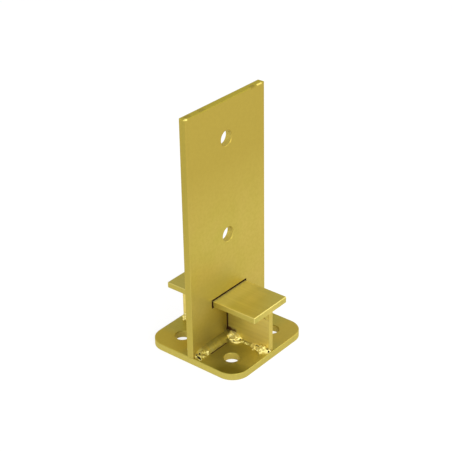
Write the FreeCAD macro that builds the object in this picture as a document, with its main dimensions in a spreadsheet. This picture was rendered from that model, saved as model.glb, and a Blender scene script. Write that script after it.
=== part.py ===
"""Timber post base: a base plate, an upright knife blade and a T-section seat, welded at the foot.

The base plate is bolted down through four holes. The blade stands on its middle and goes into
a slot sawn in the foot of a timber post, which two bolts then hold. The post's end grain rests
on the flange of a T made up of two flat bars. The T stands on its web and passes through a
T-shaped slot that is open at the blade's foot. Four weld runs, one in each inner corner, join
the feet of the blade and of the web to the plate. Two more join flange and web on the left
side, one under each half of the seat.

Frame: millimetres, +Z up, origin at the centre of the base plate's underside. The blade's
broad faces look along -Y (front) and +Y (rear), and the T runs along Y.
"""
import FreeCAD
import Part
import Sketcher
import math
import os
import re

from FreeCAD import Placement, Rotation, Vector

# Driving dimensions in millimetres, apart from the counts
SIZES = [
    ("base_length", 90, "base plate along X, and the blade's width, flush with it"),
    ("base_width", 90, "base plate along Y"),
    ("base_thickness", 6, "base plate"),
    ("base_corner_radius", 15, "corners of the base plate, seen from above"),
    ("anchor_spacing_x", 50, "anchor holes, centre to centre along X"),
    ("anchor_spacing_y", 50, "anchor holes, centre to centre along Y"),
    ("anchor_hole_diameter", 12, "clears an M10 anchor bolt"),
    ("blade_height", 200, "blade, from the top of the base plate"),
    ("blade_thickness", 6, "blade"),
    ("bolt_hole_diameter", 12, "clears an M10 bolt through the post"),
    ("bolt_top_margin", 30, "from the blade's top edge to the upper hole's centre"),
    ("bolt_pitch", 80, "between the two bolt holes"),
    ("edge_break", 0.4, "broken outer edges of the plates and of the T"),
    ("rim_break", 0.45, "broken rims of the punched holes"),
    ("flange_width", 40, "flat bar of the seat, across"),
    ("flange_thickness", 5, "flat bar of the seat"),
    ("tee_height", 40, "from the foot of the T to the seat"),
    ("web_thickness", 5, "flat bar of the T's web"),
    ("tee_end_setback", 1.5, "from the base plate's edge to each end of the T"),
    ("slot_clearance", 1, "between the blade's slot and the T, all round"),
    ("blade_weld_leg", 4.6, "toe of the weld along the blade, out from the blade's face"),
    ("tee_weld_leg", 3.6, "toe of the weld along the web, out from the web's face"),
    ("seat_weld_leg", 4.4, "toe of the weld under the seat, out from the web's face"),
    ("puddle_leg", 6, "toe of the larger puddles where a run at the foot starts and stops"),
    ("seat_puddle_leg", 5, "toe of the larger puddles of a run under the seat"),
    ("weld_sink", 3, "depth of the axis of a run's crown behind both faces it joins"),
    ("weld_core", 1, "hollow about that axis, inside the steel the run joins"),
    ("ripple_depth", 0.3, "between one solidified puddle and the next"),
    ("run_out", 0.6, "length over which the last puddle of a run falls off"),
    ("blade_puddles", 10, "puddles in the run along the blade, a count"),
    ("tee_puddles", 9, "puddles in the run along the web, a count"),
    ("seat_puddles", 7, "puddles in the run under the seat, a count"),
    ("swell_puddles", 3, "puddles over which a larger puddle fades into the run, a count"),
    ("blade_weld_margin", 3, "from the blade's end to the end of its weld"),
    ("tee_weld_margin", 1, "from the T's end to the end of the weld along its foot"),
    ("seat_weld_margin", 0.5, "from the T's end, and from the blade, to the weld under the seat"),
]
ALIASES = {alias for alias, _, _ in SIZES}

NODES = [
    "base_plate",
    "blade",
    "seat_tee",
    "weld_front_left",
    "weld_front_right",
    "weld_rear_left",
    "weld_rear_right",
    "weld_seat_front",
    "weld_seat_rear",
]

# Heights and half sizes that several pieces share, as formulas of the driving dimensions
SEAT_Z = "(base_thickness + tee_height)"
FLANGE_UNDER_Z = "(base_thickness + tee_height - flange_thickness)"
BLADE_TOP_Z = "(base_thickness + blade_height)"
TEE_LENGTH = "(base_width - 2 * tee_end_setback)"
SLOT_HALF_FLANGE = "(flange_width / 2 + slot_clearance)"
SLOT_HALF_WEB = "(web_thickness / 2 + slot_clearance)"
SLOT_TOP_Z = "(base_thickness + tee_height + slot_clearance)"
SLOT_SHOULDER_Z = "(base_thickness + tee_height - flange_thickness - slot_clearance)"


def make_sheet(doc):
    """Put the driving dimensions in a spreadsheet, one row and one alias each."""
    sheet = doc.addObject("Spreadsheet::Sheet", "Sizes")
    for row, (alias, value, note) in enumerate(SIZES, start=1):
        sheet.set("A%d" % row, alias.replace("_", " "))
        sheet.set("B%d" % row, str(value))
        sheet.set("C%d" % row, note)
        sheet.setAlias("B%d" % row, alias)
    doc.recompute()
    return sheet


def formula(text):
    """Name the sheet before each alias in a formula."""
    def with_sheet(match):
        word = match.group()
        return "Sizes." + word if word in ALIASES else word
    return re.sub(r"[a-z_]+", with_sheet, text)


def bind(target, prop, text):
    """Bind one property of an object to a formula of the driving dimensions."""
    target.setExpression(prop, formula(text))


def place(target, x, y, z, turn=0):
    """Bind an object's place to three formulas, turned by some degrees about +Z."""
    target.Placement = Placement(Vector(), Rotation(Vector(0, 0, 1), turn))
    for axis, text in zip("xyz", (x, y, z)):
        bind(target, "Placement.Base." + axis, text)


def new_sketch(body, name, role):
    """Start a sketch on one of the body's own origin planes."""
    sketch = body.newObject("Sketcher::SketchObject", name)
    plane = next(item for item in body.Origin.OriginFeatures if item.Role == role)
    sketch.AttachmentSupport = [(plane, "")]
    sketch.MapMode = "FlatFace"
    return sketch


def bind_point(sketch, geometry, end, x, y):
    """Hold one point of a sketch at two formulas, measured from the sketch's origin."""
    for kind, text in (("DistanceX", x), ("DistanceY", y)):
        index = sketch.addConstraint(Sketcher.Constraint(kind, -1, 1, geometry, end, 1.0))
        bind(sketch, "Constraints[%d]" % index, text)


def draw_outline(sketch, corners):
    """Draw a closed outline of straight lines through corners given as pairs of formulas."""
    count = len(corners)
    angles = [2 * math.pi * index / count for index in range(count + 1)]
    rough = [Vector(math.cos(angle), math.sin(angle), 0) for angle in angles]
    for start, end in zip(rough, rough[1:]):
        sketch.addGeometry(Part.LineSegment(start, end), False)
    for index, (x, y) in enumerate(corners):
        before = (index - 1) % count
        sketch.addConstraint(Sketcher.Constraint("Coincident", before, 2, index, 1))
        bind_point(sketch, index, 1, x, y)


def draw_circle(sketch, x, y, diameter):
    """Draw a circle by formulas for its centre and diameter, on the upright axis if x is None."""
    circle = Part.Circle(Vector(1, 1, 0), Vector(0, 0, 1), 1)
    geometry = sketch.addGeometry(circle, False)
    if x is None:
        sketch.addConstraint(Sketcher.Constraint("PointOnObject", geometry, 3, -2))
        height = sketch.addConstraint(Sketcher.Constraint("DistanceY", -1, 1, geometry, 3, 1.0))
        bind(sketch, "Constraints[%d]" % height, y)
    else:
        bind_point(sketch, geometry, 3, x, y)
    index = sketch.addConstraint(Sketcher.Constraint("Diameter", geometry, 2.0))
    bind(sketch, "Constraints[%d]" % index, diameter)


def pad(body, name, sketch, length, midplane=False):
    """Pad a sketch by a length, upwards or to both sides."""
    feature = body.newObject("PartDesign::Pad", name)
    feature.Profile = sketch
    feature.Midplane = midplane
    bind(feature, "Length", length)
    return feature


def drill(doc, body, name, sketch, depth):
    """Pocket a sketch of circles through the body, to both sides of its plane."""
    before = body.Tip.Shape.Volume
    feature = body.newObject("PartDesign::Pocket", name)
    feature.Profile = sketch
    feature.Midplane = True
    bind(feature, "Length", "2 * " + depth)
    doc.recompute()
    if feature.Shape.Volume > before - 1:
        raise RuntimeError("%s cuts nothing" % name)
    return feature


def edge_names(shape, wanted):
    """Name the edges of a shape that a test of the edge's middle and direction picks out."""
    names = []
    for number, edge in enumerate(shape.Edges, start=1):
        middle = edge.valueAt((edge.FirstParameter + edge.LastParameter) / 2)
        direction = edge.tangentAt((edge.FirstParameter + edge.LastParameter) / 2)
        if wanted(middle, direction):
            names.append("Edge%d" % number)
    return names


def dress(doc, body, kind, name, wanted, size):
    """Round or bevel the picked edges of the body's last feature."""
    doc.recompute()
    base = body.Tip
    feature = body.newObject("PartDesign::" + kind, name)
    feature.Base = (base, edge_names(base.Shape, wanted))
    bind(feature, "Radius" if kind == "Fillet" else "Size", size)
    doc.recompute()
    return feature


def new_body(doc, name):
    """Start a body whose label is the piece's name."""
    body = doc.addObject("PartDesign::Body", name)
    body.Label = name
    return body


def make_base_plate(doc, sheet):
    """Square plate with round corners and four anchor holes."""
    body = new_body(doc, "base_plate")
    outline = new_sketch(body, "base_outline", "XY_Plane")
    draw_outline(outline, [
        ("-base_length / 2", "-base_width / 2"),
        ("base_length / 2", "-base_width / 2"),
        ("base_length / 2", "base_width / 2"),
        ("-base_length / 2", "base_width / 2"),
    ])
    pad(body, "base_pad", outline, "base_thickness")
    dress(doc, body, "Fillet", "base_corners", lambda middle, way: abs(way.z) > 0.9, "base_corner_radius")
    dress(doc, body, "Chamfer", "base_edges", lambda middle, way: abs(way.z) < 0.1, "edge_break")

    holes = new_sketch(body, "anchor_holes", "XY_Plane")
    for side_x in ("-", ""):
        for side_y in ("-", ""):
            draw_circle(holes, side_x + "anchor_spacing_x / 2", side_y + "anchor_spacing_y / 2",
                        "anchor_hole_diameter")
    drill(doc, body, "anchor_pocket", holes, "base_thickness")

    inner_x = (sheet.anchor_spacing_x + sheet.anchor_hole_diameter) / 2 + sheet.edge_break
    inner_y = (sheet.anchor_spacing_y + sheet.anchor_hole_diameter) / 2 + sheet.edge_break

    def is_rim(middle, way):
        return abs(way.z) < 0.1 and abs(middle.x) < inner_x and abs(middle.y) < inner_y

    dress(doc, body, "Chamfer", "anchor_rims", is_rim, "rim_break")
    return body


def make_blade(doc, sheet):
    """Upright plate with a T-shaped slot open at its foot and two bolt holes."""
    body = new_body(doc, "blade")
    outline = new_sketch(body, "blade_outline", "XZ_Plane")
    left = [
        ("-" + SLOT_HALF_FLANGE, SLOT_TOP_Z),
        ("-" + SLOT_HALF_FLANGE, SLOT_SHOULDER_Z),
        ("-" + SLOT_HALF_WEB, SLOT_SHOULDER_Z),
        ("-" + SLOT_HALF_WEB, "base_thickness"),
        ("-base_length / 2", "base_thickness"),
        ("-base_length / 2", BLADE_TOP_Z),
    ]
    right = [(x[1:], z) for x, z in reversed(left)]
    draw_outline(outline, left + right)
    pad(body, "blade_pad", outline, "blade_thickness", midplane=True)

    slot_top = sheet.base_thickness + sheet.tee_height + sheet.slot_clearance
    blade_top = sheet.base_thickness + sheet.blade_height

    def is_outer(middle, way):
        above_slot = middle.z > slot_top + 0.01
        at_end = abs(abs(middle.x) - sheet.base_length / 2) < 0.01
        return above_slot or (at_end and middle.z > sheet.base_thickness + 0.01)

    def is_rim(middle, way):
        on_middle_line = abs(middle.x) < sheet.bolt_hole_diameter
        return on_middle_line and slot_top + 1 < middle.z < blade_top - 1

    dress(doc, body, "Chamfer", "blade_edges", is_outer, "edge_break")
    holes = new_sketch(body, "bolt_holes", "XZ_Plane")
    upper_z = BLADE_TOP_Z + " - bolt_top_margin"
    draw_circle(holes, None, upper_z, "bolt_hole_diameter")
    draw_circle(holes, None, upper_z + " - bolt_pitch", "bolt_hole_diameter")
    drill(doc, body, "bolt_pocket", holes, "blade_thickness")
    dress(doc, body, "Chamfer", "bolt_rims", is_rim, "rim_break")
    return body


def make_seat_tee(doc, sheet):
    """T made up of two flat bars: its flange is the seat and its web stands on the base plate."""
    body = new_body(doc, "seat_tee")
    section = new_sketch(body, "tee_section", "XZ_Plane")
    left = [
        ("-flange_width / 2", SEAT_Z),
        ("-flange_width / 2", FLANGE_UNDER_Z),
        ("-web_thickness / 2", FLANGE_UNDER_Z),
        ("-web_thickness / 2", "base_thickness"),
    ]
    right = [(x[1:], z) for x, z in reversed(left)]
    draw_outline(section, left + right)
    pad(body, "tee_pad", section, TEE_LENGTH, midplane=True)

    seat_z = sheet.base_thickness + sheet.tee_height

    def is_flange_edge(middle, way):
        at_side = abs(middle.x) > sheet.flange_width / 2 - 0.01
        return at_side or middle.z > seat_z - 0.01

    dress(doc, body, "Chamfer", "flange_edges", is_flange_edge, "edge_break")
    return body


def crown_radius(leg):
    """Radius of a run's crown whose toe lies one leg out from each face, as a formula."""
    return "sqrt((%s + weld_sink)^2 + weld_sink^2)" % leg


def make_weld_run(doc, sheet, name, length, leg, large_leg, puddles, large_at_end=False):
    """One straight run of puddles, turned about an axis that lies behind both faces.

    The run starts with larger puddles. Each puddle is a crest between two valleys. Its toe lies
    out by leg, or by up to large_leg near the start and, where asked for, near the end.
    """
    body = new_body(doc, name)
    outline = new_sketch(body, name + "_outline", "XY_Plane")
    fade = sheet.swell_puddles
    corners = [("-weld_sink", "weld_core"), ("-weld_sink", crown_radius(large_leg))]
    for puddle in range(puddles):
        swell = max(0, 1 - puddle / fade)
        if large_at_end:
            from_end = puddles - 1 - puddle
            swell += max(0, 1 - abs(from_end - 1) / fade)
        toe = "(%s + (%s - %s) * %.3f)" % (leg, large_leg, leg, swell)
        start = "%s * %d / %d" % (length, puddle, puddles)
        crest = "%s * %.1f / %d" % (length, puddle + 0.5, puddles)
        if puddle:
            corners.append((start, crown_radius(toe) + " - ripple_depth"))
        corners.append((crest, crown_radius(toe)))
    corners += [
        (length + " - run_out", crown_radius("(%s / 2)" % leg)),
        (length, "weld_sink * sqrt(2)"),
        (length, "weld_core"),
    ]
    draw_outline(outline, corners)
    turned = body.newObject("PartDesign::Revolution", name + "_crown")
    turned.Profile = outline
    turned.ReferenceAxis = (outline, ["H_Axis"])
    turned.Angle = 360
    doc.recompute()
    return body


def keep_outside(doc, name, runs, corner):
    """Keep what lies in the open corner between the faces that the runs join."""
    joined = runs[0]
    if len(runs) > 1:
        joined = doc.addObject("Part::MultiFuse", name + "_runs")
        joined.Shapes = runs
    weld = doc.addObject("Part::Common", name)
    weld.Base = joined
    weld.Tool = corner
    weld.Label = name
    doc.recompute()
    return weld


def open_corner(doc, name, length, width, height):
    """Box whose sides are formulas, for the open space that a weld may fill."""
    corner = doc.addObject("Part::Box", name)
    bind(corner, "Length", length)
    bind(corner, "Width", width)
    bind(corner, "Height", height)
    return corner


def make_foot_weld(doc, sheet):
    """Weld in the front left corner: a run along the blade's foot and a run along the web's."""
    blade_length = "(base_length / 2 - blade_weld_margin - web_thickness / 2)"
    along_blade = make_weld_run(doc, sheet, "blade_run", blade_length, "blade_weld_leg", "puddle_leg",
                                int(sheet.blade_puddles))
    place(along_blade, "-web_thickness / 2", "weld_sink - blade_thickness / 2",
          "base_thickness - weld_sink", turn=180)
    tee_length = "(%s / 2 - tee_weld_margin - blade_thickness / 2)" % TEE_LENGTH
    along_tee = make_weld_run(doc, sheet, "tee_run", tee_length, "tee_weld_leg", "puddle_leg",
                              int(sheet.tee_puddles), large_at_end=True)
    place(along_tee, "weld_sink - web_thickness / 2", "-blade_thickness / 2",
          "base_thickness - weld_sink", turn=-90)

    corner = open_corner(doc, "foot_corner", "(base_length - web_thickness) / 2",
                         "(base_width - blade_thickness) / 2", "3 * puddle_leg")
    place(corner, "-base_length / 2", "-base_width / 2", "base_thickness")
    return keep_outside(doc, "weld_front_left", [along_blade, along_tee], corner)


def make_seat_weld(doc, sheet):
    """Weld under the front half of the seat, between the flange and the web's left side."""
    length = "((%s - blade_thickness) / 2 - 2 * seat_weld_margin)" % TEE_LENGTH
    run = make_weld_run(doc, sheet, "seat_run", length, "seat_weld_leg", "seat_puddle_leg",
                        int(sheet.seat_puddles), large_at_end=True)
    start_y = "(-blade_thickness / 2 - seat_weld_margin)"
    place(run, "weld_sink - web_thickness / 2", start_y, FLANGE_UNDER_Z + " + weld_sink", turn=-90)
    corner = open_corner(doc, "seat_corner", "flange_width / 2", length, "3 * seat_puddle_leg")
    place(corner, "-(flange_width + web_thickness) / 2", "%s - %s" % (start_y, length),
          FLANGE_UNDER_Z + " - 3 * seat_puddle_leg")
    return keep_outside(doc, "weld_seat_front", [run], corner)


def mirror_weld(doc, name, source, normal):
    """The same weld in another corner, mirrored across the middle of the base plate."""
    weld = doc.addObject("Part::Mirroring", name)
    weld.Source = source
    weld.Normal = normal
    weld.Base = Vector()
    weld.Label = name
    doc.recompute()
    return weld


def check_document(doc):
    """Stop if any object of the document failed, or if a piece isn't one valid solid."""
    for item in doc.Objects:
        faults = {"Invalid", "Error"} & set(item.State)
        if faults:
            raise RuntimeError("%s is %s" % (item.Name, sorted(faults)))
    for name in NODES:
        shape = doc.getObjectsByLabel(name)[0].Shape
        if shape.isNull() or not shape.isValid() or len(shape.Solids) != 1:
            raise RuntimeError("%s isn't one valid solid" % name)


def write_parts(doc):
    """Write each piece to a file of its own."""
    os.makedirs("parts", exist_ok=True)
    for name in NODES:
        shape = doc.getObjectsByLabel(name)[0].Shape
        shape.exportStep(os.path.join("parts", name + ".step"))
        print("%-18s volume %9.1f mm3, faces %d" % (name, shape.Volume, len(shape.Faces)))


def main():
    """Build the document and write its pieces."""
    doc = FreeCAD.newDocument("timber_post_base")
    sheet = make_sheet(doc)
    make_base_plate(doc, sheet)
    make_blade(doc, sheet)
    make_seat_tee(doc, sheet)
    front_left = make_foot_weld(doc, sheet)
    mirror_weld(doc, "weld_front_right", front_left, Vector(1, 0, 0))
    rear_left = mirror_weld(doc, "weld_rear_left", front_left, Vector(0, 1, 0))
    mirror_weld(doc, "weld_rear_right", rear_left, Vector(1, 0, 0))
    seat_front = make_seat_weld(doc, sheet)
    mirror_weld(doc, "weld_seat_rear", seat_front, Vector(0, 1, 0))
    doc.recompute()
    check_document(doc)
    write_parts(doc)


main()
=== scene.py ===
"""Looks of a yellow-zinc plated timber post base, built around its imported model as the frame.

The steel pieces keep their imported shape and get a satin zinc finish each. The weld runs are
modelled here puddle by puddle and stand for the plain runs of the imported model.
"""

import logging
import math
import random
from dataclasses import dataclass, field
from enum import Enum

import bpy
from mathutils import Matrix, Vector


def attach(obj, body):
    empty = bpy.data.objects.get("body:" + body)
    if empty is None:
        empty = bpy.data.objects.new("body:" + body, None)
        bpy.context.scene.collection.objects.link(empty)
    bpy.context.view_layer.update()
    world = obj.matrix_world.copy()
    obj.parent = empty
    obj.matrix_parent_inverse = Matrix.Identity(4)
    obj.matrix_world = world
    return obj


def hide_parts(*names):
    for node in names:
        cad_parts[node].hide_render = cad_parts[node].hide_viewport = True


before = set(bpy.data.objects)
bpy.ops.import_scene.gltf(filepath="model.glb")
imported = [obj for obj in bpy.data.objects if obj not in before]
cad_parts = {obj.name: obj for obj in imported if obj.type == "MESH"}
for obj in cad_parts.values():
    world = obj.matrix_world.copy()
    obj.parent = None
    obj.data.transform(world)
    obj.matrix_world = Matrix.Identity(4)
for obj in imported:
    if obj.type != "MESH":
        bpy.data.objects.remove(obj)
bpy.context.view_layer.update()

LOG = logging.getLogger("post_base")
MM = 0.001
IMAGE_PIXELS = 452

Colour = tuple[float, float, float]
Spot = tuple[float, float, float]
Socket = bpy.types.NodeSocket


def to_linear(red: int, green: int, blue: int) -> Colour:
    """Turn a display colour of 0 to 255 into the linear colour that shaders take.

    Args:
        red: red as displayed.
        green: green as displayed.
        blue: blue as displayed.

    Returns:
        The three linear values.
    """
    shares = (value / 255 for value in (red, green, blue))
    return tuple(s / 12.92 if s <= 0.04045 else ((s + 0.055) / 1.055) ** 2.4 for s in shares)


class NodeSheet:
    """A short way to add and join the nodes of a material, a world or a modifier."""

    def __init__(self, tree: bpy.types.NodeTree) -> None:
        """Start with an empty tree.

        Args:
            tree: the node tree to fill.
        """
        self.tree = tree
        tree.nodes.clear()

    def add(self, kind: str, inputs: dict | None = None, **settings: object) -> bpy.types.Node:
        """Add a node.

        Args:
            kind: the node's type, such as "ShaderNodeMix".
            inputs: values or output sockets by input name or number.
            settings: the node's own properties.

        Returns:
            The new node.
        """
        node = self.tree.nodes.new(kind)
        for name, value in settings.items():
            setattr(node, name, value)
        for key, value in (inputs or {}).items():
            if isinstance(value, Socket):
                self.tree.links.new(value, node.inputs[key])
            else:
                node.inputs[key].default_value = value
        return node

    def noise(self, vector: Socket, scale: float | Socket, detail: float = 2.0) -> Socket:
        """Add a noise pattern.

        Args:
            vector: the coordinates that it reads.
            scale: waves per metre.
            detail: octaves.

        Returns:
            The pattern's value, about 0.5 on average.
        """
        node = self.add("ShaderNodeTexNoise", {"Vector": vector, "Scale": scale, "Detail": detail})
        return node.outputs[0]

    def math(self, operation: str, first: float | Socket, second: float | Socket = 0.0) -> Socket:
        """Add a sum on two numbers.

        Args:
            operation: its name, such as "MULTIPLY".
            first: the first number.
            second: the second number.

        Returns:
            The result.
        """
        return self.add("ShaderNodeMath", {0: first, 1: second}, operation=operation).outputs[0]

    def remap(self, value: Socket, low: float | Socket, high: float | Socket, to_low: float = 0.0,
              to_high: float = 1.0) -> Socket:
        """Stretch a value from one range to another, clamped.

        Args:
            value: the value to stretch.
            low: start of its range.
            high: end of its range.
            to_low: start of the new range.
            to_high: end of the new range.

        Returns:
            The stretched value.
        """
        return self.add("ShaderNodeMapRange", {
            "Value": value,
            "From Min": low,
            "From Max": high,
            "To Min": to_low,
            "To Max": to_high,
        }).outputs[0]

    def blend(self, share: Socket, first: Colour | Socket, second: Colour | Socket) -> Socket:
        """Blend two colours.

        Args:
            share: how much of the second colour shows.
            first: a colour or a colour socket.
            second: a colour or a colour socket.

        Returns:
            The blended colour.
        """
        node = self.add("ShaderNodeMix", data_type="RGBA")
        self.tree.links.new(share, node.inputs["Factor"])
        for key, value in (("A", first), ("B", second)):
            socket = next(s for s in node.inputs if s.name == key and s.type == "RGBA")
            if isinstance(value, Socket):
                self.tree.links.new(value, socket)
            else:
                socket.default_value = (*value, 1.0)
        return next(s for s in node.outputs if s.type == "RGBA")

    def tint(self, share: Socket, colour: Socket, glaze: Colour) -> Socket:
        """Lay a see-through glaze over a colour.

        Args:
            share: how much of the glaze shows.
            colour: the colour underneath.
            glaze: the glaze, which the colour is multiplied with.

        Returns:
            The glazed colour.
        """
        mixed = self.blend(share, colour, glaze)
        mixed.node.blend_type = "MULTIPLY"
        return mixed

    def mix(self, share: Socket, first: float | Socket, second: float | Socket) -> Socket:
        """Blend two numbers.

        Args:
            share: how much of the second number counts.
            first: the first number.
            second: the second number.

        Returns:
            The blended number.
        """
        return self.add("ShaderNodeMix", {0: share, 2: first, 3: second}).outputs[0]


class Rolling(Enum):
    """Direction of the faint rolling streaks on a piece, as a stretch of its coordinates."""

    NONE = (1.0, 1.0, 1.0)
    ALONG_X = (0.1, 1.0, 1.0)
    ALONG_Y = (1.0, 0.03, 1.0)


@dataclass(frozen=True)
class Patch:
    """A box-shaped part of a surface with a look of its own, in millimetres of the frame.

    A mirrored patch is given for positive X and Y, and shows on all four sides of the object. A
    patch fades out over its softness, and along Z over a length of its own where one is given.
    """

    low: Spot
    high: Spot
    colour: Colour
    soft: float = 0.2
    metallic: float = 0.0
    roughness: float = 0.8
    strength: float = 1.0
    ragged: float = 0.0
    ragged_waves: float = 900.0
    mirrored: bool = True
    fade_up: float | None = None

    def share(self, sheet: NodeSheet, place: Socket) -> Socket:
        """Say how much of the patch shows at each point.

        Args:
            sheet: the material's nodes.
            place: the point's coordinates in metres.

        Returns:
            A value from 0 outside to the patch's strength inside.
        """
        axes = sheet.add("ShaderNodeSeparateXYZ", {0: place}).outputs
        if self.ragged:
            noise = sheet.noise(place, self.ragged_waves, 3.0)
            wobble = sheet.remap(noise, 0.3, 0.7, -self.ragged * MM, self.ragged * MM)
        share = None
        fades = (self.soft, self.soft, self.soft if self.fade_up is None else self.fade_up)
        for axis, low, high, fade in zip(axes, self.low, self.high, fades):
            value = sheet.math("ADD", axis, wobble) if self.ragged else axis
            enter = sheet.remap(value, (low - fade) * MM, low * MM)
            leave = sheet.remap(value, high * MM, (high + fade) * MM, 1.0, 0.0)
            inside = sheet.math("MULTIPLY", enter, leave)
            share = inside if share is None else sheet.math("MULTIPLY", share, inside)
        return sheet.math("MULTIPLY", share, self.strength)


def coat(low: Spot, high: Spot, colour: Colour, **look: float | bool) -> Patch:
    """Describe a patch of bare plating, where a plain Patch is dark and dull: painted shade, soot
    or nicks.

    Args:
        low: its lowest corner.
        high: its highest corner.
        colour: the colour of its film.
        look: other values of the patch.

    Returns:
        The patch, satin and metallic unless the look says otherwise.
    """
    return Patch(low, high, colour, **{"metallic": 0.8, "roughness": 0.45, **look})


RUN = to_linear(174, 163, 84)
RUN_PAINTED_SHADE = to_linear(144, 132, 62)
# Painted shade, dark brown: in the slot seams and under the weld toes; above the corner welds it is
# partly soot.
PAINTED_SHADE = to_linear(64, 36, 10)
BORE = to_linear(194, 175, 80)
CUT_END = to_linear(173, 155, 67)
CUT_TOP = to_linear(194, 178, 72)
CUT_NICK = to_linear(134, 112, 30)
CUT_WEAR_AND_GLINT = to_linear(250, 228, 124)
WEAR_AND_EDGE_HIGHLIGHT = to_linear(218, 202, 114)


@dataclass(frozen=True)
class ZincFinish:
    """Satin zinc plating under a yellow passivation film.

    Waves are counted per metre, and depths are in millimetres.
    """

    name: str
    body: Colour = to_linear(194, 174, 84)
    lean: Colour = to_linear(188, 172, 76)
    warm: Colour = to_linear(198, 174, 87)
    grime: Colour = (0.6, 0.56, 0.45)
    glint: Colour = (1.0, 0.9, 0.5)
    glint_level: float = 0.3
    roughness: float = 0.45
    rough_range: tuple[float, float] = (-0.03, 0.05)
    metallic: float = 0.8
    cloud_waves: float = 38.0
    drift_waves: float = 14.0
    drift_share: float = 0.6
    rolling: Rolling = Rolling.NONE
    streak: float = 0.07
    streak_waves: float = 420.0
    grain_waves: float = 1400.0
    grain_strength: float = 0.25
    grain_depth: float = 0.04
    patches: tuple[Patch, ...] = ()

    def build(self) -> bpy.types.Material:
        """Make the material.

        Returns:
            The finished material.
        """
        material = bpy.data.materials.new(self.name)
        material.use_nodes = True
        sheet = NodeSheet(material.node_tree)
        place = sheet.add("ShaderNodeTexCoord").outputs["Object"]
        corner = sheet.add("ShaderNodeVectorMath", {0: place}, operation="ABSOLUTE").outputs[0]
        cloud = sheet.remap(sheet.noise(place, self.cloud_waves, 3.0), 0.35, 0.65)
        drift = sheet.noise(place, self.drift_waves, 2.0)
        drift = sheet.remap(drift, 0.35, 0.65, 0.0, self.drift_share)
        rolled = sheet.add("ShaderNodeMapping", {"Vector": place, "Scale": self.rolling.value})
        streaks = sheet.noise(rolled.outputs[0], self.streak_waves, 4.0)
        streaks = sheet.remap(streaks, 0.38, 0.62)

        film = sheet.blend(cloud, self.body, self.lean)
        film = sheet.blend(drift, film, self.warm)
        rough_low, rough_high = (self.roughness + step for step in self.rough_range)
        rough = sheet.remap(streaks, 0.0, 1.0, rough_low, rough_high)
        metallic = self.metallic
        for patch in self.patches:
            share = patch.share(sheet, corner if patch.mirrored else place)
            film = sheet.blend(share, film, patch.colour)
            rough = sheet.mix(share, rough, patch.roughness)
            metallic = sheet.mix(share, metallic, patch.metallic)
        film = sheet.tint(sheet.math("MULTIPLY", streaks, self.streak), film, self.grime)
        film, rough, metallic = self.add_pits(sheet, film, rough, metallic)

        bump = sheet.add("ShaderNodeBump", {
            "Height": sheet.noise(place, self.grain_waves, 3.0),
            "Strength": self.grain_strength,
            "Distance": self.grain_depth * MM,
        })
        metal = sheet.add("ShaderNodeBsdfPrincipled", {
            "Base Color": film,
            "Roughness": rough,
            "Metallic": metallic,
            "Specular IOR Level": self.glint_level,
            "Specular Tint": (*self.glint, 1.0),
            "Normal": bump.outputs[0],
        })
        sheet.add("ShaderNodeOutputMaterial", {"Surface": metal.outputs[0]})
        return material

    def add_pits(self, sheet: NodeSheet, film: Socket, rough: Socket,
                 metallic: float | Socket) -> tuple[Socket, Socket, float | Socket]:
        """Leave the look as it is: plain plate has no pits.

        Args:
            sheet: the material's nodes.
            film: the colour so far.
            rough: the roughness so far.
            metallic: the metallic share so far.

        Returns:
            The same three values.
        """
        return film, rough, metallic


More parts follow.
